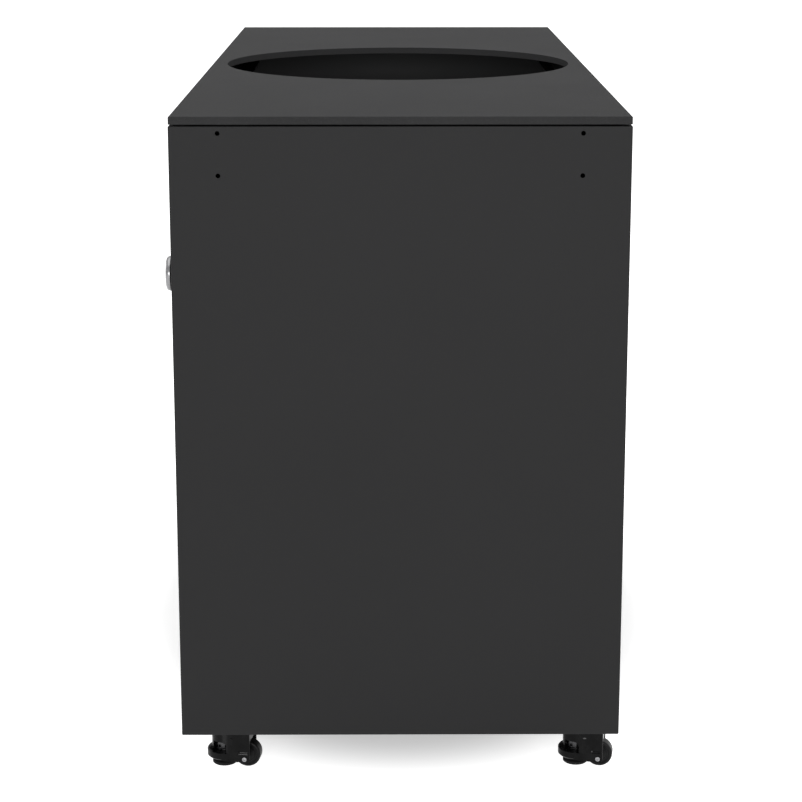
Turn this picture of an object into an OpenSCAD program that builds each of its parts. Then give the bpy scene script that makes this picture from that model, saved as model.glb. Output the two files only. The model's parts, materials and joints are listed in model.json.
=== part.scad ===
// Outdoor kitchen module: a sheet steel cabinet on levelling castors, with a thin worktop that is
// cut out for a ceramic grill. Origin on the floor under the middle of the cabinet, +X to the right
// as seen by the cook, -Y towards the cook, +Z up.

/* [Cabinet] */
// Length of the cabinet, end panel to end panel
cabinet_length = 1500; // [1300:10:1800]
// Depth of the cabinet, front plane to back plane
cabinet_depth = 610; // [600:5:700]
// Height of the end panels
panel_height = 852; // [780:1:900]
// Width of the folded edges of an end panel
panel_return = 30; // [24:1:40]
// Thickness of the cabinet's sheet steel
sheet = 2; // [1.5:0.1:2.5]
// Outer bend radius of the end panels
bend_r = 2.5; // [1:0.1:4]

/* [Worktop] */
// Thickness of the worktop slab
slab_thickness = 10.5; // [8:0.5:20]
// How far the slab stays inside the cabinet's outline
slab_inset = 0.5; // [0:0.1:2]
// Width of the eased upper edge of the slab
slab_ease = 0.8; // [0.4:0.1:1.5]
// Width of the slab left in front of and behind the cut-out for the grill
cutout_rim = 24; // [22:1:65]
// Height of the rubber pads under the slab
pad_height = 2.5; // [1.5:0.1:5]
// Length of a rubber pad
pad_length = 40; // [20:1:60]
// Width of a rubber pad
pad_width = 12; // [8:1:16]

/* [Accessory holes] */
// Diameter of the holes in the end panels
accessory_d = 6.4; // [4.5:0.1:8]
// Spacing of the holes from front to back
accessory_spacing_y = 480; // [400:5:520]
// Spacing of the holes in height
accessory_spacing_z = 56; // [40:1:80]
// Distance of the upper holes from the top of the end panel
accessory_drop = 9; // [8:0.5:14]

/* [Frame] */
// Height of the front and rear top rails
rail_height = 50; // [40:1:70]
// Depth of the top rails' flanges
rail_flange = 20; // [10:1:20]
// Depth of the front top rail's lower flange, which carries the magnet catches
catch_flange = 32; // [32:1:45]
// Height of the base pan's turned-up edges
base_lip = 30; // [20:1:45]
// Distance of a mullion's middle from the middle of the cabinet
mullion_x = 310; // [305:1:330]
// Width of a mullion
mullion_w = 40; // [36:1:50]
// Depth of a mullion
mullion_depth = 30; // [20:1:40]
// Distance of the bay walls' tops from the underside of the worktop
bay_wall_drop = 66; // [56:1:120]

/* [Grill deck and shelves] */
// Depth of the grill deck below the top of the worktop
deck_drop = 417; // [380:1:480]
// Height of the deck's turned-down edges
deck_edge = 30; // [20:1:45]
// Distance of the deck's front edge behind the front plane
deck_setback = 30; // [26:1:60]
// Width of a beam under the deck
beam_w = 60; // [40:1:90]
// Spacing of the two beams under the deck
beam_spacing = 250; // [160:5:320]
// How far the shelves lie below the top of the grill deck
shelf_drop = 35; // [10:5:150]
// Height of a shelf's turned-down front edge
shelf_edge = 20; // [12:1:30]
// Width of the angle brackets under the shelves
bracket_w = 20; // [14:1:30]
// Thickness of the angle brackets
bracket_t = 1.5; // [1:0.1:2]

/* [Back panel] */
// Width of a vent slot
vent_w = 90; // [50:1:140]
// Height of a vent slot
vent_h = 8; // [5:0.5:12]
// Spacing of the vent slots in height
vent_pitch = 20; // [15:0.5:30]
// Number of vent slots in a bank
vent_count = 6; // [2:1:8]
// Distance of the vent banks from the middle of the cabinet
vent_x = 520; // [420:5:560]
// Height of the lowest vent slot above the floor
vent_z = 160; // [130:5:260]

/* [Doors] */
// Gap around the doors
door_gap = 3; // [2:0.5:5]
// Thickness of a door
door_thickness = 18; // [16:1:24]
// Thickness of the door skins
skin_t = 1.5; // [1:0.1:2]
// Thickness of the door liners
liner_t = 1.2; // [0.8:0.1:1.5]

/* [Knobs] */
// Diameter of a knob
knob_d = 48; // [36:1:56]
// How far a knob stands in front of the door
knob_reach = 15; // [12:0.5:24]
// Thickness of a knob's head
knob_head = 9; // [8:0.5:11]
// Rounding of the knob's outer edge
knob_round = 5; // [2:0.5:6]
// Diameter of a knob's neck
knob_neck_d = 22; // [14:1:30]
// Height of the knobs above the floor
knob_z = 708; // [620:1:800]
// Distance of a knob from the free edge of its door
knob_edge = 47; // [32:1:70]

/* [Door hinges] */
// Length of a hinge
hinge_length = 60; // [40:1:90]
// Radius of a hinge knuckle
knuckle_r = 4.5; // [3.5:0.1:5]
// Radius of a hinge pin
hinge_pin_r = 2.5; // [1.5:0.1:3]
// Distance of the hinge pin in front of the doors
hinge_offset = 5; // [4.6:0.1:6]
// Width of a hinge leaf
leaf_w = 18; // [12:1:19]
// Thickness of a hinge leaf
leaf_t = 1.5; // [1:0.1:2]
// Distance of the hinges' middles from the top and bottom of a door
hinge_inset = 110; // [70:5:160]

/* [Levelling castors] */
// Height from the floor to the top of a castor's plate
castor_height = 67; // [67:0.5:80]
// Distance of a castor from the end of the cabinet
castor_inset_x = 58; // [50:1:90]
// Distance of a castor from the front or back of the cabinet
castor_inset_y = 55; // [50:1:80]
// Side of a castor's square plate
plate_w = 60; // [56:1:70]
// Spacing of the bolts in a castor's plate
plate_bolt_spacing = 44; // [42:1:50]
// Diameter of a castor wheel
wheel_d = 38; // [34:1:38]
// Width of a castor wheel
wheel_w = 20; // [14:1:20]
// Distance of the axle behind the swivel axis
castor_trail = 34; // [34:0.5:38]
// Diameter of the levelling foot
foot_d = 35; // [28:1:35]
// Height of the levelling foot above the floor when it is raised
foot_lift = 2.5; // [2:0.5:5]
// Diameter of the levelling collar
collar_d = 28; // [24:1:29]
// Angle of the front right castor's wheel from straight back
trail_angle_front_right = 8; // [-30:1:30]
// Angle of the back right castor's wheel from straight back
trail_angle_back_right = 10; // [-30:1:30]
// Angle of the front left castor's wheel from straight back
trail_angle_front_left = -6; // [-30:1:30]
// Angle of the back left castor's wheel from straight back
trail_angle_back_left = 14; // [-30:1:30]

/* [Fits] */
// Radial clearance of a shaft that turns in a bore
run_fit = 0.05; // [0.02:0.01:0.1]
// Gap between parts that move past each other
move_gap = 0.3; // [0.3:0.05:0.6]

/* [Hidden] */
half_l = cabinet_length / 2;
half_d = cabinet_depth / 2;
panel_z0 = castor_height;
panel_z1 = panel_z0 + panel_height;
slab_z0 = panel_z1 + pad_height;
slab_z1 = slab_z0 + slab_thickness;
floor_top = panel_z0 + sheet;
inner_x = half_l - sheet;
inner_y = half_d - sheet;
back_face = inner_y - sheet;
cutout_d = cabinet_depth - 2 * cutout_rim;
bay_x = mullion_x - mullion_w / 2 + sheet;
bay_wall_top = slab_z0 - bay_wall_drop;
deck_top = slab_z1 - deck_drop;
deck_front = -half_d + deck_setback;
shelf_height = deck_top - shelf_drop;

// Doors: the opening's edges, the doors' own edges and the hinge axes
opening_z0 = panel_z0 + base_lip;
opening_z1 = panel_z1 - rail_height;
door_z0 = opening_z0 + door_gap;
door_z1 = opening_z1 - door_gap;
side_in = mullion_x + mullion_w / 2 + door_gap;
side_out = half_l - panel_return - door_gap;
centre_in = door_gap / 2;
centre_out = mullion_x - mullion_w / 2 - door_gap;
pin_y = -half_d - hinge_offset;
hinge_heights = [door_z0 + hinge_inset, door_z1 - hinge_inset];
frame_knuckle = hinge_length / 3;
knob_turn = 96;

// Castors: heights of their parts above the floor and sizes from the swivel axis
plate_t = 3;
race_t = 3;
race_r = 22;
body_top = castor_height - plate_t - race_t - move_gap;
kingpin_r = 6;
kingpin_z0 = 45;
kingpin_head_r = 9;
kingpin_head_t = 2.5;
hub_z0 = kingpin_z0 + kingpin_head_t + move_gap;
neck_r = 18;
skirt_r = 24.7;
skirt_wall = 3.2;
skirt_z0 = 13.5;
skirt_z1 = 24;
skirt_chamfer = 2;
shoulder_h = 3.8;
rear_x = 41;
half_w = 27;
cheek_t = 3.5;
cheek_r = rear_x - castor_trail;
rear_round = 3;
wheel_side_gap = 0.8;
axle_r = 2.5;
axle_head_r = 3.3;
axle_head_t = 2.2;
wheel_r = wheel_d / 2;
wheel_edge = 3;
collar_z0 = skirt_z1 + move_gap;
collar_h = 12;
collar_r = collar_d / 2;
collar_drum_r = collar_r - 1.2;
collar_hole_r = 2.3;
collar_holes = 8;
stud_r = 5;
stud_top = 42;
foot_t = 3.5;
bolt_r = 3;
bolt_head_r = 5;
bolt_head_t = 2.4;
nut_r = 5.8;
nut_h = 5;
window_x0 = -14;
window_x1 = 7;
window_z1 = 38;

// Screws through the back panel
screw_r = 2;
screw_head_r = 4;
screw_length = 9;
screw_side_x = half_l - panel_return / 2;
screw_side_end = 45;
screw_side_z = [for (i = [0:4])
    panel_z0 + screw_side_end + i * (panel_height - 2 * screw_side_end) / 4];
screw_rail_end = 180;
screw_rail_x = [for (i = [-2:2]) i * (half_l - panel_return - screw_rail_end) / 2];
screw_rail_z = [floor_top + base_lip / 2, panel_z1 - rail_height / 2];

// Magnet catches behind the doors' upper free corners
catch_w = 44;
catch_h = 12;
catch_d = 12;
catch_edge = 30;

dark_steel = [0.205, 0.205, 0.208];
slab_grey = [0.27, 0.27, 0.275];
inner_steel = [0.17, 0.17, 0.172];
satin_steel = [0.62, 0.61, 0.6];
zinc = [0.72, 0.72, 0.7];
cast_black = [0.06, 0.06, 0.063];
rubber_black = [0.045, 0.045, 0.045];

// Each door: its name, its hinge side (+1 has the hinge at the larger x) and its x range
DOORS = [
    ["side_door_left", 1, -side_out, -side_in],
    ["side_door_right", -1, side_in, side_out],
    ["centre_door_left", -1, -centre_out, -centre_in],
    ["centre_door_right", 1, centre_in, centre_out]
];
// Each castor: its name, its place and the angle of its wheel from straight back
castor_x = half_l - castor_inset_x;
castor_y = half_d - castor_inset_y;
CASTORS = [
    ["front_left", -castor_x, -castor_y, trail_angle_front_left],
    ["front_right", castor_x, -castor_y, trail_angle_front_right],
    ["back_left", -castor_x, castor_y, trail_angle_back_left],
    ["back_right", castor_x, castor_y, trail_angle_back_right]
];
FIXED_NODES = [
    "worktop", "worktop_pads", "end_panel_left", "end_panel_right", "back_panel",
    "cabinet_floor", "bottom_rails",
    "front_top_rail", "rear_top_rail", "mullion_left", "mullion_right", "bay_wall_left",
    "bay_wall_right", "grill_deck", "deck_beams", "shelf_left", "shelf_right", "shelf_brackets",
    "frame_hinge_leaves", "hinge_pins", "magnet_catches", "back_screws", "castor_plates",
    "castor_bolts"
];
DOOR_PARTS = ["skin", "liner", "knob", "hinge_leaves"];
CASTOR_PARTS = ["castor_body", "castor_wheel", "castor_axle", "castor_collar", "castor_foot"];

// Hinge axis of a door, at its hinge side in the middle of the gap
function hinge_x(d) = d[1] > 0 ? d[3] + door_gap / 2 : d[2] - door_gap / 2;
// Middle of a door's knob
function knob_x(d) = d[1] > 0 ? d[2] + knob_edge : d[3] - knob_edge;
// Points of a quarter round about [x, y], from angle a0
function quarter(x, y, r, a0) = [for (i = [0:6]) [x + r * cos(a0 + i * 15), y + r * sin(a0 + i * 15)]];

// A box between two corners
module span(x0, x1, y0, y1, z0, z1) {
    translate([x0, y0, z0])
        cube([x1 - x0, y1 - y0, z1 - z0]);
}

// Copies for the left and the right half of the cabinet
module both_sides() {
    children();
    mirror([1, 0, 0])
        children();
}

// Worktop slab with an eased upper edge, without its cut-out
module slab_blank() {
    x = half_l - slab_inset;
    y = half_d - slab_inset;
    hull() {
        span(-x, x, -y, y, slab_z0, slab_z1 - slab_ease);
        span(-x + slab_ease, x - slab_ease, -y + slab_ease, y - slab_ease, slab_z0, slab_z1);
    }
}

module worktop() {
    color(slab_grey)
    difference() {
        slab_blank();
        translate([0, 0, slab_z0 - 1])
            cylinder(d = cutout_d, h = slab_thickness + 2, $fn = 180);
    }
}

// Rubber pads on the end panels' and rails' top flanges
module worktop_pads() {
    color(rubber_black) {
        both_sides() {
            for (y = [-0.72, 0, 0.72])
                translate([half_l - panel_return + 2, y * half_d - pad_length / 2, panel_z1])
                    cube([pad_width, pad_length, pad_height]);
            for (s = [-1, 1], x = [0.28, 0.62])
                translate([x * half_l, s * (inner_y - sheet - pad_width / 2 - 2) - pad_width / 2, panel_z1])
                    cube([pad_length, pad_width, pad_height]);
        }
    }
}

// End panel: a tray with rounded upright edges, folded inwards all round. Only the right one has
// holes for accessories
module end_panel(accessory_holes) {
    in = half_l - panel_return;
    difference() {
        union() {
            translate([0, 0, panel_z0])
                linear_extrude(height = panel_height)
                    polygon(concat(
                        [[in, -half_d]],
                        quarter(half_l - bend_r, -half_d + bend_r, bend_r, 270),
                        quarter(half_l - bend_r, half_d - bend_r, bend_r, 0),
                        [[in, half_d], [in, inner_y], [inner_x, inner_y],
                         [inner_x, -inner_y], [in, -inner_y]]
                    ));
            span(in, inner_x, -inner_y, inner_y, panel_z1 - sheet, panel_z1);
        }
        if (accessory_holes)
            for (y = [-1, 1], z = [0, 1])
                translate([inner_x - 1, y * accessory_spacing_y / 2,
                           panel_z1 - accessory_drop - z * accessory_spacing_z])
                    rotate([0, 90, 0])
                        cylinder(d = accessory_d, h = sheet + 2, $fn = 32);
        for (z = screw_side_z)
            translate([screw_side_x, half_d, z])
                countersunk_hole();
    }
}

module end_panel_right() {
    color(dark_steel)
        end_panel(true);
}

module end_panel_left() {
    color(dark_steel)
    mirror([1, 0, 0])
        end_panel(false);
}

// Back panel inside the end panels' rear folds, with two banks of vent slots
module back_panel() {
    color(dark_steel)
    difference() {
        span(-inner_x, inner_x, back_face, inner_y, floor_top, panel_z1 - sheet);
        both_sides() {
            for (i = [0:vent_count - 1])
                translate([vent_x - vent_w / 2, back_face - 1, vent_z + i * vent_pitch])
                    cube([vent_w, sheet + 2, vent_h]);
            for (z = screw_side_z)
                translate([screw_side_x, back_face - 1, z])
                    rotate([-90, 0, 0])
                        cylinder(r = screw_r + run_fit, h = sheet + 2, $fn = 24);
        }
        for (x = screw_rail_x, z = screw_rail_z)
            translate([x, inner_y, z])
                countersunk_hole();
    }
}

// Floor of the cabinet, the flat sheet that the castors are bolted to
module cabinet_floor() {
    color(inner_steel)
    difference() {
        span(-inner_x, inner_x, -inner_y, inner_y, panel_z0, floor_top);
        for (c = CASTORS)
            translate([c[1], c[2], 0])
                castor_bolt_places()
                    translate([0, 0, panel_z0 - 1])
                        cylinder(r = bolt_r + run_fit, h = sheet + 2, $fn = 32);
    }
}

// Bottom rails, strips on edge round the floor: under the doors, at the back and at the ends
module bottom_rails() {
    in = half_l - panel_return;
    side_y = inner_y - sheet - 1;
    color(dark_steel)
    difference() {
        union() {
            span(-in, in, -half_d, -inner_y, panel_z0, opening_z0);
            span(-in, in, back_face - sheet, back_face, floor_top, opening_z0);
            both_sides()
                span(inner_x - sheet, inner_x, -side_y, side_y, floor_top, opening_z0);
        }
        for (x = screw_rail_x)
            translate([x, back_face - sheet - 1, screw_rail_z[0]])
                rotate([-90, 0, 0])
                    cylinder(r = screw_r + run_fit, h = sheet + 2, $fn = 24);
    }
}

// Top rail over the doors, a channel that opens to the inside
module front_top_rail() {
    in = half_l - panel_return;
    color(dark_steel) {
        span(-in, in, -half_d, -inner_y, opening_z1, panel_z1);
        span(-in, in, -inner_y, -inner_y + rail_flange, panel_z1 - sheet, panel_z1);
        span(-in, in, -inner_y, -inner_y + catch_flange, opening_z1, opening_z1 + sheet);
    }
}

// Top rail at the back, a channel against the back panel
module rear_top_rail() {
    in = half_l - panel_return;
    y1 = back_face;
    color(inner_steel)
    difference() {
        union() {
            span(-in, in, y1 - sheet, y1, opening_z1, panel_z1 - sheet);
            span(-in, in, y1 - rail_flange, y1 - sheet, opening_z1, opening_z1 + sheet);
            span(-in, in, y1 - rail_flange, inner_y, panel_z1 - sheet, panel_z1);
        }
        for (x = screw_rail_x)
            translate([x, y1 - sheet - 1, screw_rail_z[1]])
                rotate([-90, 0, 0])
                    cylinder(r = screw_r + run_fit, h = sheet + 2, $fn = 24);
    }
}

// Right mullion, a channel between the base pan's lip and the front top rail
module mullion() {
    x0 = mullion_x - mullion_w / 2;
    x1 = mullion_x + mullion_w / 2;
    span(x0, x1, -half_d, -inner_y, opening_z0, opening_z1);
    span(x0, x0 + sheet, -inner_y, -half_d + mullion_depth, opening_z0, opening_z1);
    span(x1 - sheet, x1, -inner_y, -half_d + mullion_depth, opening_z0, opening_z1);
}

module mullion_right() {
    color(dark_steel)
        mullion();
}

module mullion_left() {
    color(dark_steel)
    mirror([1, 0, 0])
        mullion();
}

// Right wall of the grill's bay
module bay_wall() {
    span(bay_x, bay_x + sheet, -inner_y, back_face - sheet, floor_top, bay_wall_top);
}

module bay_wall_right() {
    color(inner_steel)
        bay_wall();
}

module bay_wall_left() {
    color(inner_steel)
    mirror([1, 0, 0])
        bay_wall();
}

// Deck that the grill stands on
module grill_deck() {
    y1 = back_face - sheet;
    color(inner_steel) {
        span(-bay_x, bay_x, deck_front, y1, deck_top - sheet, deck_top);
        span(-bay_x, bay_x, deck_front, deck_front + sheet, deck_top - deck_edge, deck_top - sheet);
        both_sides()
            span(bay_x - sheet, bay_x, deck_front + sheet, y1, deck_top - deck_edge, deck_top - sheet);
    }
}

// Two beams under the deck, from one bay wall's fold to the other
module deck_beams() {
    mid = (deck_front + back_face) / 2;
    z1 = deck_top - sheet;
    z0 = deck_top - deck_edge;
    x = bay_x - sheet;
    color(inner_steel)
    for (s = [-1, 1]) {
        y0 = mid + s * beam_spacing / 2 - beam_w / 2;
        span(-x, x, y0, y0 + beam_w, z0, z0 + sheet);
        span(-x, x, y0, y0 + sheet, z0 + sheet, z1);
        span(-x, x, y0 + beam_w - sheet, y0 + beam_w, z0 + sheet, z1);
    }
}

// Right shelf, turned down at the front and the back
module shelf() {
    x0 = bay_x + sheet;
    y0 = deck_front;
    y1 = back_face - sheet;
    x1 = inner_x - sheet;
    span(x0, x1, y0, y1, shelf_height - sheet, shelf_height);
    span(x0 + bracket_w, x1 - bracket_w, y0, y0 + sheet, shelf_height - shelf_edge, shelf_height - sheet);
    span(x0 + bracket_w, x1 - bracket_w, y1 - sheet, y1, shelf_height - shelf_edge, shelf_height - sheet);
}

module shelf_right() {
    color(inner_steel)
        shelf();
}

module shelf_left() {
    color(inner_steel)
    mirror([1, 0, 0])
        shelf();
}

// Angle brackets on the bay walls and end panels, under the shelves
module shelf_brackets() {
    y0 = deck_front + 4;
    y1 = back_face - sheet - 4;
    z1 = shelf_height - sheet;
    a = bay_x + sheet;
    b = inner_x;
    w = bracket_w - 1;
    color(inner_steel)
    both_sides() {
        span(a, a + w, y0, y1, z1 - bracket_t, z1);
        span(a, a + bracket_t, y0, y1, z1 - w, z1 - bracket_t);
        span(b - sheet - w, b, y0, y1, z1 - bracket_t, z1);
        span(b - bracket_t, b, y0, y1, z1 - w, z1 - bracket_t);
    }
}

// One knuckle of a hinge, bored for its pin
module knuckle(length, bore_r) {
    difference() {
        cylinder(r = knuckle_r, h = length, $fn = 32);
        translate([0, 0, -1])
            cylinder(r = bore_r, h = length + 2, $fn = 32);
    }
}

// Leaf and knuckles of one hinge about its own pin; side is +1 where the leaf lies towards +x
module frame_leaf(side) {
    half = hinge_length / 2;
    for (z = [-half, half - frame_knuckle + move_gap])
        translate([0, 0, z])
            knuckle(frame_knuckle - move_gap, hinge_pin_r + run_fit / 2);
    for (z = [-half, half - frame_knuckle + move_gap])
        leaf_plate(side, z, frame_knuckle - move_gap, 0);
    leaf_plate(side, -half, hinge_length, knuckle_r + move_gap);
}

// Door side of one hinge, with the middle knuckle
module door_leaf(side) {
    half = hinge_length / 2;
    mid = frame_knuckle - move_gap;
    translate([0, 0, -mid / 2])
        knuckle(mid, hinge_pin_r + run_fit);
    leaf_plate(side, -mid / 2, mid, 0);
    leaf_plate(side, -half, hinge_length, knuckle_r + move_gap);
}

// A flat plate against the front plane, from the distance x0 beside the pin to the leaf's width
module leaf_plate(side, z0, height, x0) {
    mirror([side > 0 ? 0 : 1, 0, 0])
        translate([x0, hinge_offset - leaf_t, z0])
            cube([leaf_w - x0, leaf_t, height]);
}

module frame_hinge_leaves() {
    color(dark_steel)
    for (d = DOORS, z = hinge_heights)
        translate([hinge_x(d), pin_y, z])
            frame_leaf(d[1]);
}

module hinge_pins() {
    color(zinc)
    for (d = DOORS, z = hinge_heights)
        translate([hinge_x(d), pin_y, z - hinge_length / 2 - 1])
            cylinder(r = hinge_pin_r, h = hinge_length + 2, $fn = 32);
}

// Magnet catches under the front top rail, just behind the doors
module magnet_catches() {
    y0 = -half_d + door_thickness + move_gap;
    color(cast_black)
    for (d = DOORS) {
        x0 = d[1] > 0 ? d[2] + catch_edge : d[3] - catch_edge - catch_w;
        span(x0, x0 + catch_w, y0, y0 + catch_d, opening_z1 - catch_h, opening_z1);
    }
}

// Hole through a sheet for a countersunk screw that comes from +Y; the origin is on its outer face
module countersunk_hole() {
    slope = (screw_head_r - screw_r) / sheet;
    rotate([-90, 0, 0])
        rotate_extrude($fn = 32)
            polygon([
                [0, -sheet - 1], [screw_r + run_fit, -sheet - 1], [screw_r + run_fit, -sheet],
                [screw_head_r + run_fit + slope, 1], [0, 1]
            ]);
}

// Countersunk screw whose head lies flush in the outer face
module countersunk_screw() {
    rotate([-90, 0, 0])
        rotate_extrude($fn = 32)
            polygon([
                [0, -screw_length], [screw_r, -screw_length], [screw_r, -sheet], [screw_head_r, 0],
                [0, 0]
            ]);
}

module back_screws() {
    color(zinc) {
        both_sides()
            for (z = screw_side_z)
                translate([screw_side_x, half_d, z])
                    countersunk_screw();
        for (x = screw_rail_x, z = screw_rail_z)
            translate([x, inner_y, z])
                countersunk_screw();
    }
}

// Folded skin of a door, open to the inside
module door_skin(d) {
    y0 = -half_d;
    y1 = y0 + door_thickness - liner_t;
    color(dark_steel)
    difference() {
        span(d[2], d[3], y0, y1, door_z0, door_z1);
        span(d[2] + skin_t, d[3] - skin_t, y0 + skin_t, y1 + 1, door_z0 + skin_t, door_z1 - skin_t);
        translate([knob_x(d), y0 - 1, knob_z])
            rotate([-90, 0, 0])
                cylinder(r = screw_r + run_fit, h = skin_t + 2, $fn = 24);
    }
}

// Flat liner that closes the back of a door
module door_liner(d) {
    y1 = -half_d + door_thickness;
    color(inner_steel)
        span(d[2], d[3], y1 - liner_t, y1, door_z0, door_z1);
}

// Domed knob on a neck, with its stud and the nut behind the skin
module door_knob(d) {
    r = knob_d / 2;
    head = knob_reach - knob_head;
    dome = knob_head - knob_round;
    color(satin_steel)
    translate([knob_x(d), -half_d, knob_z])
        rotate([90, 0, 0]) {
            rotate_extrude($fn = knob_turn)
                polygon(concat(
                    [[0, 0], [knob_neck_d / 2, 0], [knob_neck_d / 2 - 2, head], [r - 1.5, head]],
                    [[r, head + 1.5]],
                    [for (a = [0:10:80])
                        [r - knob_round + knob_round * cos(a), head + dome - 1 + knob_round * sin(a)]],
                    [[r * 0.42, knob_reach - 0.2], [0, knob_reach]]
                ));
            translate([0, 0, -skin_t - 5])
                cylinder(r = screw_r, h = skin_t + 5, $fn = 24);
            translate([0, 0, -skin_t - 3.2])
                cylinder(r = 4, h = 3.2, $fn = 6);
        }
}

// The door's halves of its hinges
module door_hinge_leaves(d) {
    color(dark_steel)
    for (z = hinge_heights)
        translate([hinge_x(d), pin_y, z])
            door_leaf(-d[1]);
}

// Places of the four bolts in a castor's plate
module castor_bolt_places() {
    s = plate_bolt_spacing / 2;
    for (x = [-s, s], y = [-s, s])
        translate([x, y, 0])
            children();
}

// Puts a castor part that is modelled with its wheel towards +x in its place and direction
module at_castor(c) {
    translate([c[1], c[2], 0])
        rotate([0, 0, 90 - c[3]])
            children();
}

// Fixed half of each castor: plate, race and kingpin
module castor_plates() {
    z = castor_height - plate_t;
    color(zinc)
    for (c = CASTORS)
        translate([c[1], c[2], 0])
            difference() {
                union() {
                    translate([-plate_w / 2, -plate_w / 2, z])
                        cube([plate_w, plate_w, plate_t]);
                    translate([0, 0, z - race_t])
                        cylinder(r = race_r, h = race_t, $fn = 64);
                    translate([0, 0, kingpin_z0])
                        cylinder(r = kingpin_r, h = z - kingpin_z0, $fn = 32);
                    translate([0, 0, kingpin_z0])
                        cylinder(r = kingpin_head_r, h = kingpin_head_t, $fn = 32);
                }
                castor_bolt_places()
                    translate([0, 0, z - 1])
                        cylinder(r = bolt_r + run_fit, h = plate_t + 2, $fn = 32);
            }
}

// Bolts through the castor plates and the floor of the cabinet, with their nuts
module castor_bolts() {
    z = castor_height - plate_t;
    color(zinc)
    for (c = CASTORS)
        translate([c[1], c[2], 0])
            castor_bolt_places() {
                translate([0, 0, z - bolt_head_t])
                    cylinder(r = bolt_head_r, h = bolt_head_t, $fn = 32);
                translate([0, 0, z])
                    cylinder(r = bolt_r, h = plate_t + sheet + nut_h + 1, $fn = 32);
                translate([0, 0, floor_top])
                    cylinder(r = nut_r, h = nut_h, $fn = 6);
            }
}

// Outline of the castor body seen from above: a round neck that widens to the cheeks
module body_plan() {
    x0 = neck_r * cos(100);
    y0 = neck_r * sin(100);
    side = [for (i = [1:6]) let (t = i / 6)
        [x0 + (12 - x0) * t, y0 + (half_w - y0) * t * t * (3 - 2 * t)]];
    corner = [for (a = [90:-15:0])
        [rear_x - rear_round + rear_round * cos(a), half_w - rear_round + rear_round * sin(a)]];
    upper = concat([for (a = [180:-8:100]) [neck_r * cos(a), neck_r * sin(a)]], side, corner);
    polygon(concat(upper, [for (i = [len(upper) - 1:-1:1]) [upper[i][0], -upper[i][1]]]));
}

// Cheek of the castor body on its +y side: a wall from the skirt to the axle, round at its end
module cheek() {
    intersection() {
        translate([0, 0, skirt_z0 - 5])
            linear_extrude(height = skirt_z1 - skirt_z0 + 6)
                polygon(concat(
                    [[0, skirt_r - skirt_wall], [0, skirt_r], [4, skirt_r + 0.5], [8, skirt_r + 1.6],
                     [12, half_w]],
                    [for (a = [90:-15:0]) [rear_x - rear_round + rear_round * cos(a),
                                           half_w - rear_round + rear_round * sin(a)]],
                    [[rear_x, half_w - cheek_t], [8, half_w - cheek_t], [8, skirt_r - skirt_wall]]
                ));
        translate([0, half_w + 1, 0])
            rotate([90, 0, 0])
                linear_extrude(height = half_w)
                    polygon(concat(
                        [[-1, skirt_z1 + 2], [-1, skirt_z0], [castor_trail - cheek_r - 4, skirt_z0]],
                        [for (a = [-140:10:0])
                            [castor_trail + cheek_r * cos(a), wheel_r + cheek_r * sin(a)]],
                        [[rear_x, skirt_z1 + 2]]
                    ));
    }
}

// Castor body: a black casting that swivels on the kingpin, with cheeks for the wheel, a skirt
// round the foot and a window on each side that lets a hand reach the collar
module castor_body(c) {
    cheek_in = half_w - cheek_t;
    room = wheel_w / 2 + wheel_side_gap;
    color(cast_black)
    at_castor(c)
    difference() {
        union() {
            difference() {
                union() {
                    translate([0, 0, skirt_z1])
                        linear_extrude(height = body_top - skirt_z1)
                            body_plan();
                    // skirt round the front of the foot, with a sloping shoulder
                    rotate_extrude($fn = 64)
                        polygon([
                            [0, skirt_z0], [skirt_r - skirt_chamfer, skirt_z0],
                            [skirt_r, skirt_z0 + skirt_chamfer], [skirt_r, skirt_z1],
                            [skirt_r - 1.4, skirt_z1 + 0.5 * shoulder_h],
                            [neck_r - 2, skirt_z1 + shoulder_h], [0, skirt_z1 + shoulder_h]
                        ]);
                }
                // hollow between the cheeks, behind the skirt
                span(8, rear_x + 1, -cheek_in, cheek_in, skirt_z0 - 1, hub_z0 - 4);
            }
            // cheeks, and inside them the bosses that keep the wheel in the middle
            for (s = [0, 1])
                mirror([0, s, 0]) {
                    cheek();
                    translate([castor_trail, cheek_in + 0.5, wheel_r])
                        rotate([90, 0, 0])
                            cylinder(r = axle_r + 2.5, h = cheek_in + 0.5 - room, $fn = 32);
                }
            // web behind the collar, up to the wheel's room
            span(8, rear_x - 1, -cheek_in - 0.5, cheek_in + 0.5, hub_z0 - 7, hub_z0 - 3);
        }
        // room for the foot under the skirt
        translate([0, 0, skirt_z0 - 1])
            cylinder(r = skirt_r - skirt_wall, h = skirt_z1 - skirt_z0 - 2, $fn = 64);
        // room for the collar and for the stud above it
        translate([0, 0, skirt_z1])
            cylinder(r = collar_r + move_gap, h = collar_h + 2 * move_gap, $fn = 64);
        translate([0, 0, skirt_z0])
            cylinder(r = stud_r + 1, h = hub_z0 - skirt_z0, $fn = 32);
        translate([0, 0, kingpin_z0 - 4])
            cylinder(r = kingpin_head_r + move_gap, h = hub_z0 - kingpin_z0 + 4, $fn = 32);
        translate([0, 0, hub_z0 - 1])
            cylinder(r = kingpin_r + run_fit, h = body_top - hub_z0 + 2, $fn = 32);
        // side windows
        span(window_x0, window_x1, -half_w - 1, half_w + 1, skirt_z1 + 0.3, window_z1);
        // room for the wheel, open to the rear and below
        translate([castor_trail, room, wheel_r])
            rotate([90, 0, 0])
                cylinder(r = wheel_r + 1.6, h = 2 * room, $fn = 64);
        span(castor_trail, rear_x + 14, -room, room, skirt_z0 - 8, wheel_d + 1.6);
        // bore for the axle
        translate([castor_trail, half_w + 1, wheel_r])
            rotate([90, 0, 0])
                cylinder(r = axle_r + run_fit, h = 2 * half_w + 2, $fn = 32);
    }
}

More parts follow.
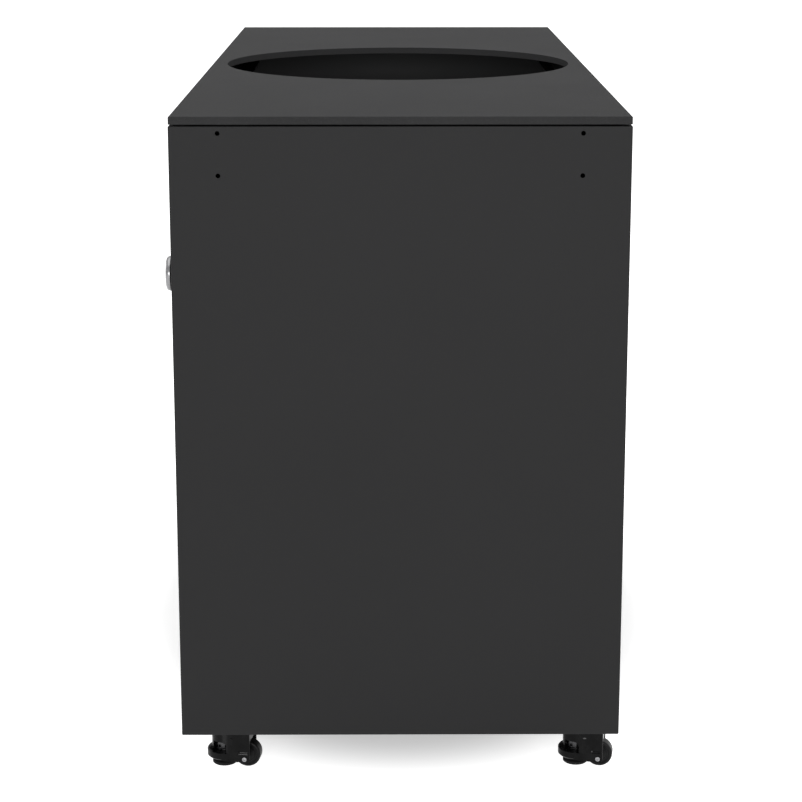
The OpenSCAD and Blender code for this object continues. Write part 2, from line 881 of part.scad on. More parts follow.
// Wheel with rounded edges and a dished hub
module castor_wheel(c) {
    w = wheel_w / 2;
    color(rubber_black)
    at_castor(c)
        translate([castor_trail, 0, wheel_r])
            rotate([90, 0, 0])
                rotate_extrude($fn = 96)
                    polygon(concat(
                        [[axle_r + run_fit, -w], [wheel_r - 8, -w], [wheel_r - 7, -w + 1.5],
                         [wheel_r - 5, -w + 1.5], [wheel_r - 4, -w + 0.6]],
                        quarter(wheel_r - wheel_edge, -w + wheel_edge + 0.6, wheel_edge, 270),
                        quarter(wheel_r - wheel_edge, w - wheel_edge - 0.6, wheel_edge, 0),
                        [[wheel_r - 4, w - 0.6], [wheel_r - 5, w - 1.5], [wheel_r - 7, w - 1.5],
                         [wheel_r - 8, w], [axle_r + run_fit, w]]
                    ));
}

// Riveted axle with a hollow head on each side
module castor_axle(c) {
    color(zinc)
    at_castor(c)
        translate([castor_trail, 0, wheel_r])
            rotate([90, 0, 0])
                difference() {
                    union() {
                        cylinder(r = axle_r, h = 2 * half_w, center = true, $fn = 32);
                        for (s = [-1, 1])
                            translate([0, 0, s * (half_w + axle_head_t / 2)])
                                cylinder(r = axle_head_r, h = axle_head_t, center = true, $fn = 48);
                    }
                    for (s = [-1, 1])
                        translate([0, 0, s * (half_w + axle_head_t)])
                            cylinder(r = axle_head_r / 2.4, h = axle_head_t, center = true, $fn = 24);
                }
}

// Collar that raises and lowers the foot: a flanged drum with holes for a pin
module castor_collar(c) {
    color(zinc)
    at_castor(c)
        translate([0, 0, collar_z0])
            difference() {
                rotate_extrude($fn = 64)
                    polygon([
                        [stud_r + run_fit, 0], [collar_r - 0.6, 0], [collar_r, 0.6], [collar_r, 2.2],
                        [collar_drum_r, 3], [collar_drum_r, collar_h - 0.8],
                        [collar_drum_r - 0.8, collar_h], [stud_r + run_fit, collar_h]
                    ]);
                for (i = [0:collar_holes - 1])
                    rotate([0, 0, (i + 0.5) * 360 / collar_holes])
                        translate([collar_drum_r - 4, 0, collar_h / 2])
                            rotate([0, 90, 0])
                                cylinder(r = collar_hole_r, h = 6, $fn = 24);
            }
}

// Levelling foot: a pad on a stud
module castor_foot(c) {
    color(rubber_black)
    at_castor(c) {
        translate([0, 0, foot_lift])
            rotate_extrude($fn = 64)
                polygon([
                    [0, 0], [foot_d / 2 - 1, 0], [foot_d / 2, 1], [foot_d / 2, foot_t],
                    [foot_d / 2 - 1.5, foot_t + 1.2], [stud_r + 3, foot_t + 2.6], [stud_r, foot_t + 2.6],
                    [stud_r, stud_top - foot_lift - 1], [stud_r - 1, stud_top - foot_lift],
                    [0, stud_top - foot_lift]
                ]);
    }
}

worktop();
worktop_pads();
end_panel_left();
end_panel_right();
back_panel();
cabinet_floor();
bottom_rails();
front_top_rail();
rear_top_rail();
mullion_left();
mullion_right();
bay_wall_left();
bay_wall_right();
grill_deck();
deck_beams();
shelf_left();
shelf_right();
shelf_brackets();
frame_hinge_leaves();
hinge_pins();
magnet_catches();
back_screws();
castor_plates();
castor_bolts();
for (d = DOORS) {
    door_skin(d);
    door_liner(d);
    door_knob(d);
    door_hinge_leaves(d);
}
for (c = CASTORS) {
    castor_body(c);
    castor_wheel(c);
    castor_axle(c);
    castor_collar(c);
    castor_foot(c);
}
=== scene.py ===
"""Looks of the outdoor kitchen module: eased sheet metal, screws, castings and materials"""

import json
import math

import bpy
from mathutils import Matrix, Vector


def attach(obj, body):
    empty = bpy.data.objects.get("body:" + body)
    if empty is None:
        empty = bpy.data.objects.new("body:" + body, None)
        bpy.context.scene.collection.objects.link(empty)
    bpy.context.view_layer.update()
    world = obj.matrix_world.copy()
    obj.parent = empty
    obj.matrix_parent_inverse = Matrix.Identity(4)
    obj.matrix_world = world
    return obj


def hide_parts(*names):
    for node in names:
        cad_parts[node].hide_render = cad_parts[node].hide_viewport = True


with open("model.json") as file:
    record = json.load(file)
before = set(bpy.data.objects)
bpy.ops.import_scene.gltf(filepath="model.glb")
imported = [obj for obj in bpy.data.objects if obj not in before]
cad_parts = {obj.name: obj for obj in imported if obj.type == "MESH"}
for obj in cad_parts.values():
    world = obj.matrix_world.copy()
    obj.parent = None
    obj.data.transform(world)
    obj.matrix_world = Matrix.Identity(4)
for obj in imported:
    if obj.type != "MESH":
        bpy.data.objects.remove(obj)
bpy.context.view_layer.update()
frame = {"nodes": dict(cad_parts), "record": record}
nodes = frame["nodes"]
record = frame["record"]

MM = 0.001
# A corner this near a plane lies in it, and corners this near each other are one
TOUCH = 0.1 * MM
MERGE = 0.004 * MM
# Angles between two faces, in degrees: their edge gets a round above the first and is shaded
# smooth below the second, and below the third they are one flat face
SHARP_ANGLE = 40
SHADE_ANGLE = 30
FLAT_ANGLE = 0.4
# A face looks along a direction if its normal has at least this share of it
FACING = 0.9

# Places and sizes of the solids
DOORS = ("side_door_left", "side_door_right", "centre_door_left", "centre_door_right")
HALF_LENGTH = 0.75
HALF_DEPTH = 0.305
PANEL_TOP = 0.919
CHEEK_FACE = 0.027
# For each castor, the angle in degrees that it is swivelled by, and its kingpin's place
CASTORS = {
    "front_left": (-6, (-0.692, -0.25)),
    "front_right": (8, (0.692, -0.25)),
    "back_left": (14, (-0.692, 0.25)),
    "back_right": (10, (0.692, 0.25)),
}

# Back panel's screws
SHANK_RADIUS = 2 * MM
SHANK_LENGTH = 7 * MM
HEAD_HEIGHT = 2 * MM
HEAD_SPREAD = 1.96
HEAD_ROUND = 0.12 * MM
SOCKET_INSET = 2.4 * MM
SOCKET_HALF_WIDTH = 1.25 * MM
SOCKET_DEPTH = 1.4 * MM
SIDE_SCREWS_X = 0.735
SIDE_SCREW_HEIGHTS = [(112 + 190.5 * i) * MM for i in range(5)]
ROW_SCREWS_X = [270 * i * MM for i in range(-2, 3)]
ROW_SCREWS_Y = HALF_DEPTH - 2 * MM
ROW_SCREW_HEIGHTS = (0.084, 0.894)

# Small forms on a castor's cheeks, in millimetres. A rib has its distance from the kingpin, its
# height and its length, and a raised spot its half sizes, distance from the kingpin and height.
RIBS = ((32.0, 26.3, 13), (33.0, 28.9, 11))
RIB_SECTION = (1.6 * MM, 0.9 * MM)
RIB_PROUD = 0.3 * MM
RAISED_SPOTS = (((1.2, 1.0, 1.1), 25.8, 29.2), ((2.6, 0.7, 0.9), 15.0, 48.2))

# Range that most of a noise texture's values lie in
NOISE_LOW, NOISE_HIGH = 0.3, 0.7

# The floor turns white between two ovals, whose reach is given along X. Their reach along Y is
# shorter by the factor FLOOR_OVAL.
FLOOR_SIZE = 60
FLOOR_COLOUR = (0.8, 0.8, 0.8, 1)
FLOOR_GLOW = 0.4
OVAL_INSIDE, OVAL_OUTSIDE = 0.6, 0.8
FLOOR_OVAL = 1.55
WHITE = (1, 1, 1, 1)
WORLD_LIGHT = 0.55

# Lamps: name, place, point aimed at, size and watts
SOFTBOXES = (
    ("top_softbox", (0, 0, 4.2), (0, 0, 0), (5.0, 5.0), 120),
    ("end_strip", (5.6, 0.0, 1.5), (-0.75, 0, 0.85), (4.0, 0.7), 120),
    ("cook_softbox", (-1.4, -5.2, 2.4), (0, 0, 0.5), (2.8, 2.8), 40),
    ("rear_softbox", (-1.2, 5.4, 2.6), (0, 0, 0.5), (2.8, 2.8), 35),
)

CAMERA_PLACE = (3.487, -0.015, 1.261)
CAMERA_PITCH = 12.41
CAMERA_YAW = -0.33
CAMERA_SENSOR = 36
CAMERA_LENS = 94.2
CAMERA_SHIFT = -0.10


# Working with the mesh tools
def deselect():
    bpy.ops.object.select_all(action="DESELECT")


def make_active(piece):
    deselect()
    piece.select_set(True)
    bpy.context.view_layer.objects.active = piece


def edit(piece, mode="EDGE"):
    make_active(piece)
    bpy.ops.object.mode_set(mode="EDIT")
    bpy.ops.mesh.select_mode(type=mode)
    bpy.ops.mesh.select_all(action="DESELECT")


def leave():
    bpy.ops.object.mode_set(mode="OBJECT")


def select_where(piece, kind, test):
    """Selects the vertices, edges or faces that pass the test, from edit mode, and counts them"""
    leave()
    mesh = piece.data
    for part in getattr(mesh, kind):
        part.select = bool(test(mesh, part))
    found = sum(part.select for part in getattr(mesh, kind))
    bpy.ops.object.mode_set(mode="EDIT")
    return found


def edge_ends(mesh, part):
    return [mesh.vertices[i].co for i in part.vertices]


def apply_modifiers(piece):
    make_active(piece)
    for modifier in list(piece.modifiers):
        bpy.ops.object.modifier_apply(modifier=modifier.name)


def smooth(piece, angle=SHADE_ANGLE):
    """Smooth shading in which each corner leans to its largest face, so flat faces stay flat"""
    make_active(piece)
    bpy.ops.object.shade_smooth_by_angle(angle=math.radians(angle))
    flatten = piece.modifiers.new("flat_faces", "WEIGHTED_NORMAL")
    flatten.keep_sharp = True
    apply_modifiers(piece)


def place_in_mesh(piece):
    """Moves the object to the origin and keeps its place, turn and size in its mesh"""
    make_active(piece)
    bpy.ops.object.transform_apply(location=True, rotation=True, scale=True)


def copy_at(piece, place, turn=(0, 0, 0)):
    new = bpy.data.objects.new(piece.name, piece.data.copy())
    bpy.context.scene.collection.objects.link(new)
    new.rotation_euler = turn
    new.location = place
    place_in_mesh(new)
    return new


def joined(pieces, name):
    deselect()
    for piece in pieces:
        piece.select_set(True)
    bpy.context.view_layer.objects.active = pieces[0]
    if len(pieces) > 1:
        bpy.ops.object.join()
    whole = bpy.context.view_layer.objects.active
    whole.name = name
    whole.data.name = name
    place_in_mesh(whole)
    return whole


def body_of_node(node):
    bodies = record["behaviour"]["bodies"]
    return next(body for body, members in bodies.items() if node in members)


def slot_of_node(node):
    return next(s["material_slot"] for s in record["subparts"] if s["node"] == node)


def finish_piece(piece, node, material=None):
    """Gives a new piece the body and slot of the CAD node that it stands for"""
    if material:
        piece.data.materials.clear()
        piece.data.materials.append(material)
    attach(piece, body_of_node(node))
    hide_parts(node)
    return piece


def flat_copy(node):
    """A copy of a CAD node whose triangles are joined into flat faces again"""
    piece = bpy.data.objects.new(node + "_finished", nodes[node].data.copy())
    bpy.context.scene.collection.objects.link(piece)
    edit(piece, "VERT")
    bpy.ops.mesh.select_all(action="SELECT")
    bpy.ops.mesh.remove_doubles(threshold=MERGE)
    bpy.ops.mesh.customdata_custom_splitnormals_clear()
    bpy.ops.mesh.dissolve_limited(angle_limit=math.radians(FLAT_ANGLE))
    leave()
    return piece


def bevel_edges(piece, width, segments, test):
    """Rounds the sharp edges of a piece whose ends pass the test"""
    edit(piece, "EDGE")
    bpy.ops.mesh.edges_select_sharp(sharpness=math.radians(SHARP_ANGLE))
    leave()
    sharp = {e.index for e in piece.data.edges if e.select}
    bpy.ops.object.mode_set(mode="EDIT")
    if select_where(piece, "edges", lambda m, e: e.index in sharp and test(*edge_ends(m, e))):
        bpy.ops.mesh.bevel(offset=width, offset_type="OFFSET", segments=segments, profile=0.5,
                           affect="EDGES", clamp_overlap=True, loop_slide=True)
    leave()


def ease_all(piece, width, segments=2, angle=SHARP_ANGLE):
    """A small round on every sharp edge"""
    ease = piece.modifiers.new("ease", "BEVEL")
    ease.width = width
    ease.segments = segments
    ease.limit_method = "ANGLE"
    ease.angle_limit = math.radians(angle)
    ease.use_clamp_overlap = True
    apply_modifiers(piece)
    smooth(piece)


# Shader nodes
def feed(tree, value, socket):
    """Links an output to a socket, or sets the socket to a number or colour"""
    if isinstance(value, bpy.types.NodeSocket):
        tree.links.new(value, socket)
    else:
        socket.default_value = value


def noise(tree, vector, scale, detail=2.0, rough=0.5):
    node = tree.nodes.new("ShaderNodeTexNoise")
    values = {"Vector": vector, "Scale": scale, "Detail": detail, "Roughness": rough}
    for label, value in values.items():
        feed(tree, value, node.inputs[label])
    return node.outputs["Fac"]


def math_node(tree, operation, *values):
    node = tree.nodes.new("ShaderNodeMath")
    node.operation = operation
    for socket, value in zip(node.inputs, values):
        feed(tree, value, socket)
    return node.outputs[0]


def blend(tree, first, share, second):
    """Adds two values, with the given share of the first and the rest of the second"""
    rest = math_node(tree, "MULTIPLY", second, 1 - share)
    return math_node(tree, "MULTIPLY_ADD", first, share, rest)


def spread(tree, value, low=0.0, high=1.0):
    """Maps a noise value to the range low to high"""
    node = tree.nodes.new("ShaderNodeMapRange")
    values = {"Value": value, "From Min": NOISE_LOW, "From Max": NOISE_HIGH,
              "To Min": low, "To Max": high}
    for label, limit in values.items():
        feed(tree, limit, node.inputs[label])
    return node.outputs["Result"]


def colour_mix(tree, factor, first, second):
    node = tree.nodes.new("ShaderNodeMix")
    node.data_type = "RGBA"
    for index, value in ((0, factor), (6, first), (7, second)):
        feed(tree, value, node.inputs[index])
    return node.outputs[2]


def seen_or_mirrored(tree):
    """1 for rays from the camera, from a mirror or through glass, and 0 for the rest"""
    path = tree.nodes.new("ShaderNodeLightPath").outputs
    mirrored = math_node(tree, "MAXIMUM", path["Is Glossy Ray"], path["Is Transmission Ray"])
    return math_node(tree, "MAXIMUM", path["Is Camera Ray"], mirrored)


def grey(value, blue=0.02):
    return (value, value, value * (1 + blue), 1)


# Shader groups: each takes a place and gives a colour, a roughness and a height
def new_group(name, inputs):
    group = bpy.data.node_groups.new(name, "ShaderNodeTree")
    group.interface.new_socket(name="Vector", in_out="INPUT", socket_type="NodeSocketVector")
    for label, value in inputs.items():
        kind = "NodeSocketFloat" if isinstance(value, float) else "NodeSocketColor"
        socket = group.interface.new_socket(name=label, in_out="INPUT", socket_type=kind)
        socket.default_value = value
    for label, kind in (("Color", "NodeSocketColor"), ("Roughness", "NodeSocketFloat"),
                        ("Height", "NodeSocketFloat")):
        group.interface.new_socket(name=label, in_out="OUTPUT", socket_type=kind)
    given = group.nodes.new("NodeGroupInput").outputs
    return group, given, group.nodes.new("NodeGroupOutput").inputs


def make_coat_group():
    """Fine structure of powder coat: grain, orange peel and slow variation of tone"""
    group, given, out = new_group("powder_coat_structure", {
        "Grain": 1400.0, "Dark": grey(0.03), "Light": grey(0.038), "Rough Low": 0.42,
        "Rough High": 0.56,
    })
    grain = noise(group, given["Vector"], given["Grain"], detail=3.0, rough=0.6)
    peel = noise(group, given["Vector"], 260.0)
    slow = noise(group, given["Vector"], 3.1, detail=3.0, rough=0.55)
    tone = spread(group, blend(group, grain, 0.35, slow))
    feed(group, colour_mix(group, tone, given["Dark"], given["Light"]), out["Color"])
    rough = spread(group, blend(group, slow, 0.5, peel), given["Rough Low"], given["Rough High"])
    feed(group, rough, out["Roughness"])
    feed(group, blend(group, peel, 0.6, grain), out["Height"])
    return group


def make_metal_group():
    """Turned or drawn metal: fine lines from a noise that may be stretched, and stains"""
    group, given, out = new_group("drawn_metal_lines", {
        "Lines": 900.0, "Dark": grey(0.45), "Light": grey(0.63), "Rough Low": 0.22,
        "Rough High": 0.36,
    })
    lines = noise(group, given["Vector"], given["Lines"], rough=0.6)
    stain = noise(group, given["Vector"], 34.0, detail=3.0, rough=0.6)
    tone = spread(group, blend(group, lines, 0.6, stain))
    feed(group, colour_mix(group, tone, given["Dark"], given["Light"]), out["Color"])
    rough = spread(group, lines, given["Rough Low"], given["Rough High"])
    feed(group, rough, out["Roughness"])
    feed(group, lines, out["Height"])
    return group


def make_stone_group():
    """Sintered stone: a fine speckle of darker and lighter grains under a slow cloudiness"""
    group, given, out = new_group("sintered_stone_speckle", {
        "Dark": grey(0.045), "Middle": grey(0.06), "Light": grey(0.082),
    })
    fine = noise(group, given["Vector"], 900.0, detail=3.0, rough=0.65)
    cloud = noise(group, given["Vector"], 7.0, detail=4.0, rough=0.6)
    speck = noise(group, given["Vector"], 420.0, detail=1.0)
    tone = spread(group, blend(group, fine, 0.45, cloud))
    base = colour_mix(group, tone, given["Dark"], given["Middle"])
    # Only the peaks of the speck noise show, and not at full strength
    peaks_only, strength = 0.22, 0.8
    bright = spread(group, math_node(group, "SUBTRACT", speck, peaks_only))
    bright = math_node(group, "MULTIPLY", bright, strength)
    feed(group, colour_mix(group, bright, base, given["Light"]), out["Color"])
    feed(group, spread(group, fine, 0.5, 0.68), out["Roughness"])
    feed(group, blend(group, fine, 0.7, speck), out["Height"])
    return group


def make_cast_group():
    """Skin of a coated casting or moulding: soft pits and a faint change of gloss"""
    group, given, out = new_group("cast_skin", {
        "Pits": 700.0, "Dark": grey(0.008), "Light": grey(0.016), "Rough Low": 0.25,
        "Rough High": 0.42,
    })
    pits = noise(group, given["Vector"], given["Pits"])
    slow = noise(group, given["Vector"], 60.0, detail=3.0, rough=0.6)
    tone = spread(group, slow)
    feed(group, colour_mix(group, tone, given["Dark"], given["Light"]), out["Color"])
    feed(group, spread(group, slow, given["Rough Low"], given["Rough High"]), out["Roughness"])
    feed(group, pits, out["Height"])
    return group


COAT = make_coat_group()
METAL = make_metal_group()
STONE = make_stone_group()
CAST = make_cast_group()


# Materials
def surface(name, group, values, bump, distance=0.2 * MM, metallic=0.0, specular=0.5,
            stretch=None):
    """A material whose colour, roughness and bump come from one of the shader groups"""
    material = bpy.data.materials.new(name)
    material.use_nodes = True
    tree = material.node_tree
    shader = tree.nodes["Principled BSDF"].inputs
    place = tree.nodes.new("ShaderNodeTexCoord").outputs["Object"]
    if stretch:
        mapping = tree.nodes.new("ShaderNodeMapping")
        feed(tree, stretch, mapping.inputs["Scale"])
        feed(tree, place, mapping.inputs["Vector"])
        place = mapping.outputs["Vector"]
    structure = tree.nodes.new("ShaderNodeGroup")
    structure.node_tree = group
    feed(tree, place, structure.inputs["Vector"])
    for label, value in values.items():
        feed(tree, value, structure.inputs[label])
    feed(tree, structure.outputs["Color"], shader["Base Color"])
    feed(tree, structure.outputs["Roughness"], shader["Roughness"])
    relief = tree.nodes.new("ShaderNodeBump")
    feed(tree, bump, relief.inputs["Strength"])
    feed(tree, distance, relief.inputs["Distance"])
    feed(tree, structure.outputs["Height"], relief.inputs["Height"])
    feed(tree, relief.outputs["Normal"], shader["Normal"])
    feed(tree, metallic, shader["Metallic"])
    feed(tree, specular, shader["Specular IOR Level"])
    return material


powder_coat = surface("dark_powder_coat", COAT, {
    "Dark": grey(0.0195), "Light": grey(0.0225), "Rough Low": 0.5, "Rough High": 0.62,
}, bump=0.25, specular=0.08)
# A lighter copy of the same powder coat: painted light for the parts and faces inside the
# cabinet, which lie in shade
inner_coat_painted_light = surface("inner_powder_coat_painted_light", COAT, {
    "Dark": grey(0.047), "Light": grey(0.056), "Rough Low": 0.5, "Rough High": 0.64,
}, bump=0.25, specular=0.16)
stone = surface("dark_sintered_stone", STONE, {
    "Dark": grey(0.028), "Middle": grey(0.0345), "Light": grey(0.044),
}, bump=0.2, specular=0.01)
# The knobs' steel is coloured darker than steel is, as painted shade: it stands in for dark
# surroundings in their reflections
knob_steel_painted_shade = surface("satin_turned_steel", METAL, {
    "Lines": 260.0, "Dark": grey(0.16), "Light": grey(0.26), "Rough Low": 0.2,
    "Rough High": 0.34,
}, bump=0.12, distance=0.05 * MM, metallic=1.0, stretch=(1.0, 9.0, 1.0))
zinc = surface("bright_zinc", METAL, {
    "Lines": 320.0, "Dark": grey(0.16, 0.03), "Light": grey(0.3, 0.03), "Rough Low": 0.2,
    "Rough High": 0.36,
}, bump=0.15, distance=0.05 * MM, metallic=1.0)
# A darker copy of the bright zinc: painted shade for the levelling collars, which sit in the
# castors' windows
zinc_painted_shade = surface("zinc_painted_shade", METAL, {
    "Lines": 320.0, "Dark": grey(0.035, 0.03), "Light": grey(0.085, 0.03), "Rough Low": 0.24,
    "Rough High": 0.4,
}, bump=0.15, distance=0.05 * MM, metallic=1.0)
casting = surface("black_coated_casting", CAST, {
    "Dark": grey(0.004), "Light": grey(0.009), "Rough Low": 0.2, "Rough High": 0.32,
}, bump=0.22, specular=0.06)
# A lighter, glossier copy of the black casting: painted highlight on small forms of the castors'
# cheeks
casting_painted_highlight = surface("casting_painted_highlight", CAST, {
    "Dark": grey(0.03), "Light": grey(0.055), "Rough Low": 0.22, "Rough High": 0.34,
}, bump=0.15, specular=0.8)
nylon = surface("black_nylon", CAST, {
    "Dark": grey(0.006), "Light": grey(0.01), "Rough Low": 0.3, "Rough High": 0.44,
    "Pits": 1100.0,
}, bump=0.2, specular=0.12)
rubber = surface("black_rubber", CAST, {
    "Dark": grey(0.007), "Light": grey(0.013), "Rough Low": 0.6, "Rough High": 0.8,
    "Pits": 1500.0,
}, bump=0.3, specular=0.15)
plastic = surface("black_catch_plastic", CAST, {
    "Dark": grey(0.01), "Light": grey(0.016), "Rough Low": 0.42, "Rough High": 0.56,
}, bump=0.2)

SLOT_MATERIALS = {
    "worktop_stone": stone, "cabinet_steel": powder_coat, "inner_steel": inner_coat_painted_light,
    "knob_steel": knob_steel_painted_shade, "zinc_steel": zinc, "castor_casting": casting, "wheel_nylon": nylon,
    "foot_rubber": rubber, "black_rubber": rubber, "catch_plastic": plastic,
}
for node, cad in nodes.items():
    cad.data.materials.clear()
    cad.data.materials.append(SLOT_MATERIALS[slot_of_node(node)])


# Sheet metal with eased edges, whose rounds are in millimetres
SHEET_EASE = {
    "cabinet_floor": 0.3, "bottom_rails": 0.3, "front_top_rail": 0.35, "rear_top_rail": 0.3,
    "mullion_left": 0.35, "mullion_right": 0.35, "bay_wall_left": 0.35, "bay_wall_right": 0.35,
    "grill_deck": 0.35, "deck_beams": 0.35, "shelf_left": 0.35, "shelf_right": 0.35,
    "shelf_brackets": 0.25, "magnet_catches": 0.8, "castor_plates": 0.4, "worktop_pads": 0.5,
    "castor_bolts": 0.25, "hinge_pins": 0.4, "frame_hinge_leaves": 0.25,
}


def eased_sheet(node, width, material=None):
    piece = flat_copy(node)
    ease_all(piece, width * MM)
    return finish_piece(piece, node, material)


def paint_inside_lighter(piece, test):
    """Gives the faces that look into the cabinet the lighter copy of the powder coat, as painted
    light against the shade inside
    """
    piece.data.materials.append(inner_coat_painted_light)
    edit(piece, "FACE")
    select_where(piece, "polygons", test)
    piece.active_material_index = 1
    bpy.ops.object.material_slot_assign()
    leave()


def end_panel_piece(side):
    """End panel with a round top fold"""
    node = f"end_panel_{side}"
    piece = flat_copy(node)
    outward = 1 if side == "right" else -1
    fold_reach = 3 * MM

    def top_fold(a, b):
        return (min(a.z, b.z) > PANEL_TOP - TOUCH
                and min(outward * a.x, outward * b.x) > HALF_LENGTH - fold_reach)

    bevel_edges(piece, 1.6 * MM, segments=4, test=top_fold)
    ease_all(piece, 0.25 * MM)
    finish_piece(piece, node)
    paint_inside_lighter(piece, lambda m, f: outward * f.normal.x < -FACING)


def door_skin_piece(door):
    """Door skin with round folds along its front"""
    node = f"{door}_skin"
    piece = flat_copy(node)
    shortest_fold = 50 * MM

    def front_fold(a, b):
        return max(a.y, b.y) < -HALF_DEPTH + TOUCH and (a - b).length > shortest_fold

    bevel_edges(piece, 1.4 * MM, segments=4, test=front_fold)
    ease_all(piece, 0.2 * MM)
    finish_piece(piece, node, powder_coat)


def worktop_piece():
    """Slab with finely rounded edges, at its cut-out too"""
    piece = flat_copy("worktop")
    ease_all(piece, 0.35 * MM, segments=3, angle=25)
    finish_piece(piece, "worktop", stone)


def smooth_piece(node, material, angle):
    """Turned or moulded piece that needs only smooth shading"""
    piece = flat_copy(node)
    smooth(piece, angle)
    finish_piece(piece, node, material)


for node, width in SHEET_EASE.items():
    eased_sheet(node, width)
for side in ("left", "right"):
    end_panel_piece(side)
for door in DOORS:
    door_skin_piece(door)
    eased_sheet(f"{door}_liner", 0.3)
    eased_sheet(f"{door}_hinge_leaves", 0.25)
worktop_piece()
paint_inside_lighter(eased_sheet("back_panel", 0.3), lambda m, f: f.normal.y < -FACING)


# Screws of the back panel: countersunk heads with a six-sided socket
def socket_screw():
    """One screw with its head flush in the plane z = 0"""
    deselect()
    bpy.ops.mesh.primitive_cylinder_add(vertices=36, radius=SHANK_RADIUS, depth=SHANK_LENGTH,
                                        location=(0, 0, -HEAD_HEIGHT - SHANK_LENGTH / 2))
    screw = bpy.context.active_object
    place_in_mesh(screw)
    edit(screw, "FACE")
    select_where(screw, "polygons", lambda m, f: f.normal.z > FACING)
    bpy.ops.mesh.extrude_region_move(TRANSFORM_OT_translate={"value": (0, 0, HEAD_HEIGHT)})
    bpy.ops.transform.resize(value=(HEAD_SPREAD, HEAD_SPREAD, 1))
    bpy.ops.mesh.inset(thickness=SOCKET_INSET)
    leave()
    for vertex in screw.data.vertices:
        if vertex.select:
            turn = math.atan2(vertex.co.y, vertex.co.x)
            from_flat = (turn % math.radians(60)) - math.radians(30)
            radius = SOCKET_HALF_WIDTH / math.cos(from_flat)
            vertex.co.x, vertex.co.y = radius * math.cos(turn), radius * math.sin(turn)
    bpy.ops.object.mode_set(mode="EDIT")
    bpy.ops.mesh.extrude_region_move(TRANSFORM_OT_translate={"value": (0, 0, -SOCKET_DEPTH)})
    leave()

    def head_rim(a, b):
        return min(a.z, b.z) > -0.01 * MM and a.xy.length > 3 * MM

    bevel_edges(screw, HEAD_ROUND, segments=2, test=head_rim)
    smooth(screw, angle=35)
    return screw


def back_screw_piece():
    screw = socket_screw()
    places = [(side * SIDE_SCREWS_X, HALF_DEPTH, z) for side in (-1, 1)
              for z in SIDE_SCREW_HEIGHTS]
    places += [(x, ROW_SCREWS_Y, z) for x in ROW_SCREWS_X for z in ROW_SCREW_HEIGHTS]
    to_the_back = (math.radians(-90), 0, 0)
    copies = [copy_at(screw, place, to_the_back) for place in places]
    bpy.data.objects.remove(screw)
    finish_piece(joined(copies, "back_screws_finished"), "back_screws", zinc)


back_screw_piece()


# Castors
def castor_body_piece(castor):
    """Casting with round edges, two ribs, a small rivet and a raised spot on each cheek"""
    node = f"{castor}_castor_body"
    piece = flat_copy(node)
    ease_all(piece, 0.7 * MM, segments=3, angle=35)
    swivelled, (x0, y0) = CASTORS[castor]
    angle = math.radians(90 - swivelled)
    front = castor.startswith("front")
    # The ribs of the front castors and the spots of the back castors get the painted highlight
    rib_material, spot_material = (
        (casting_painted_highlight, casting) if front else (casting, casting_painted_highlight))
    parts = [piece]

    def seat(part, x, y, z):
        """Turns a part with the castor and puts it at a place measured from the kingpin"""
        part.rotation_euler = (0, 0, angle)
        part.location = (x0 + x * math.cos(angle) - y * math.sin(angle),
                         y0 + x * math.sin(angle) + y * math.cos(angle), z)
        place_in_mesh(part)
        parts.append(part)

    for side in (-1, 1):
        for along, height, length in RIBS:
            deselect()
            bpy.ops.mesh.primitive_cube_add(size=1, location=(0, 0, 0))
            rib = bpy.context.active_object
            rib.scale = (length * MM, *RIB_SECTION)
            place_in_mesh(rib)
            rib.data.materials.append(rib_material)
            ease_all(rib, 0.4 * MM, segments=3)
            seat(rib, along * MM, side * (CHEEK_FACE + RIB_PROUD), height * MM)
        for size, along, height in RAISED_SPOTS:
            deselect()
            bpy.ops.mesh.primitive_uv_sphere_add(segments=20, ring_count=10, radius=MM)
            spot = bpy.context.active_object
            spot.scale = size
            place_in_mesh(spot)
            seat(spot, along * MM, side * CHEEK_FACE, height * MM)
            spot.data.materials.append(spot_material)
            smooth(spot, angle=60)
    finish_piece(joined(parts, f"{castor}_castor_body_finished"), node)


for castor in CASTORS:
    castor_body_piece(castor)
    smooth_piece(f"{castor}_castor_wheel", nylon, angle=35)
    eased_sheet(f"{castor}_castor_axle", 0.3)
    eased_sheet(f"{castor}_castor_collar", 0.2, zinc_painted_shade)
    eased_sheet(f"{castor}_castor_foot", 0.2)

for door in DOORS:
    smooth_piece(f"{door}_knob", knob_steel_painted_shade, angle=25)


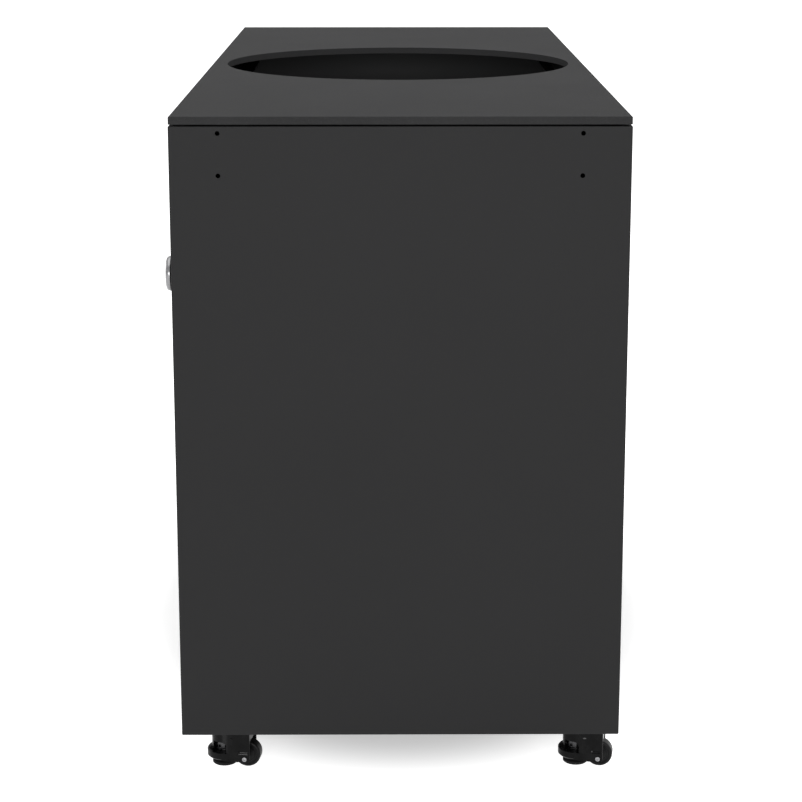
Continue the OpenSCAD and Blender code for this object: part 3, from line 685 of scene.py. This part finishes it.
# Floor, light and camera
def make_floor():
    """Pale floor that keeps the object's shadow and turns white in an oval round it"""
    deselect()
    bpy.ops.mesh.primitive_plane_add(size=FLOOR_SIZE, location=(0, 0, 0))
    floor = bpy.context.active_object
    floor.name = "studio_floor"
    material = bpy.data.materials.new("pale_floor")
    material.use_nodes = True
    tree = material.node_tree
    tree.nodes.clear()
    diffuse = tree.nodes.new("ShaderNodeBsdfDiffuse")
    feed(tree, FLOOR_COLOUR, diffuse.inputs["Color"])
    place = tree.nodes.new("ShaderNodeTexCoord").outputs["Object"]
    oval = tree.nodes.new("ShaderNodeVectorMath")
    oval.operation = "MULTIPLY"
    feed(tree, place, oval.inputs[0])
    feed(tree, (1.0, FLOOR_OVAL, 1.0), oval.inputs[1])
    reach = tree.nodes.new("ShaderNodeVectorMath")
    reach.operation = "LENGTH"
    feed(tree, oval.outputs["Vector"], reach.inputs[0])
    away = tree.nodes.new("ShaderNodeMapRange")
    away.interpolation_type = "SMOOTHSTEP"
    values = {"Value": reach.outputs["Value"], "From Min": OVAL_INSIDE,
              "From Max": OVAL_OUTSIDE, "To Min": FLOOR_GLOW, "To Max": 1.0}
    for label, value in values.items():
        feed(tree, value, away.inputs[label])
    glow = tree.nodes.new("ShaderNodeEmission")
    feed(tree, WHITE, glow.inputs["Color"])
    feed(tree, away.outputs["Result"], glow.inputs["Strength"])
    both = tree.nodes.new("ShaderNodeAddShader")
    feed(tree, diffuse.outputs[0], both.inputs[0])
    feed(tree, glow.outputs[0], both.inputs[1])
    choose = tree.nodes.new("ShaderNodeMixShader")
    feed(tree, seen_or_mirrored(tree), choose.inputs[0])
    feed(tree, diffuse.outputs[0], choose.inputs[1])
    feed(tree, both.outputs[0], choose.inputs[2])
    out = tree.nodes.new("ShaderNodeOutputMaterial")
    feed(tree, choose.outputs[0], out.inputs["Surface"])
    floor.data.materials.append(material)


def make_world():
    """Soft grey light from all round, seen as white"""
    world = bpy.data.worlds.new("studio")
    bpy.context.scene.world = world
    world.use_nodes = True
    tree = world.node_tree
    tree.nodes.clear()
    choose = tree.nodes.new("ShaderNodeMixShader")
    feed(tree, seen_or_mirrored(tree), choose.inputs[0])
    for index, strength in ((1, WORLD_LIGHT), (2, 1.0)):
        background = tree.nodes.new("ShaderNodeBackground")
        feed(tree, WHITE, background.inputs["Color"])
        feed(tree, strength, background.inputs["Strength"])
        feed(tree, background.outputs[0], choose.inputs[index])
    out = tree.nodes.new("ShaderNodeOutputWorld")
    feed(tree, choose.outputs[0], out.inputs["Surface"])


def softbox(name, place, target, size, watts):
    data = bpy.data.lights.new(name, "AREA")
    data.shape = "RECTANGLE"
    data.size, data.size_y = size
    data.energy = watts
    lamp = bpy.data.objects.new(name, data)
    bpy.context.scene.collection.objects.link(lamp)
    lamp.location = place
    lamp.rotation_euler = (Vector(target) - Vector(place)).to_track_quat("-Z", "Y").to_euler()


def make_camera():
    """Camera at the photograph's angle, looking down by the pitch"""
    data = bpy.data.cameras.new("camera")
    data.sensor_width = CAMERA_SENSOR
    data.lens = CAMERA_LENS
    data.shift_y = CAMERA_SHIFT
    camera = bpy.data.objects.new("camera", data)
    bpy.context.scene.collection.objects.link(camera)
    camera.location = CAMERA_PLACE
    pitch, yaw = math.radians(CAMERA_PITCH), math.radians(CAMERA_YAW)
    look = Vector((-math.cos(pitch) * math.cos(yaw), -math.cos(pitch) * math.sin(yaw),
                   -math.sin(pitch)))
    camera.rotation_euler = look.to_track_quat("-Z", "Y").to_euler()
    bpy.context.scene.camera = camera


make_floor()
make_world()
for lamp in SOFTBOXES:
    softbox(*lamp)
make_camera()
bpy.context.scene.view_settings.view_transform = "Standard"

deselect()
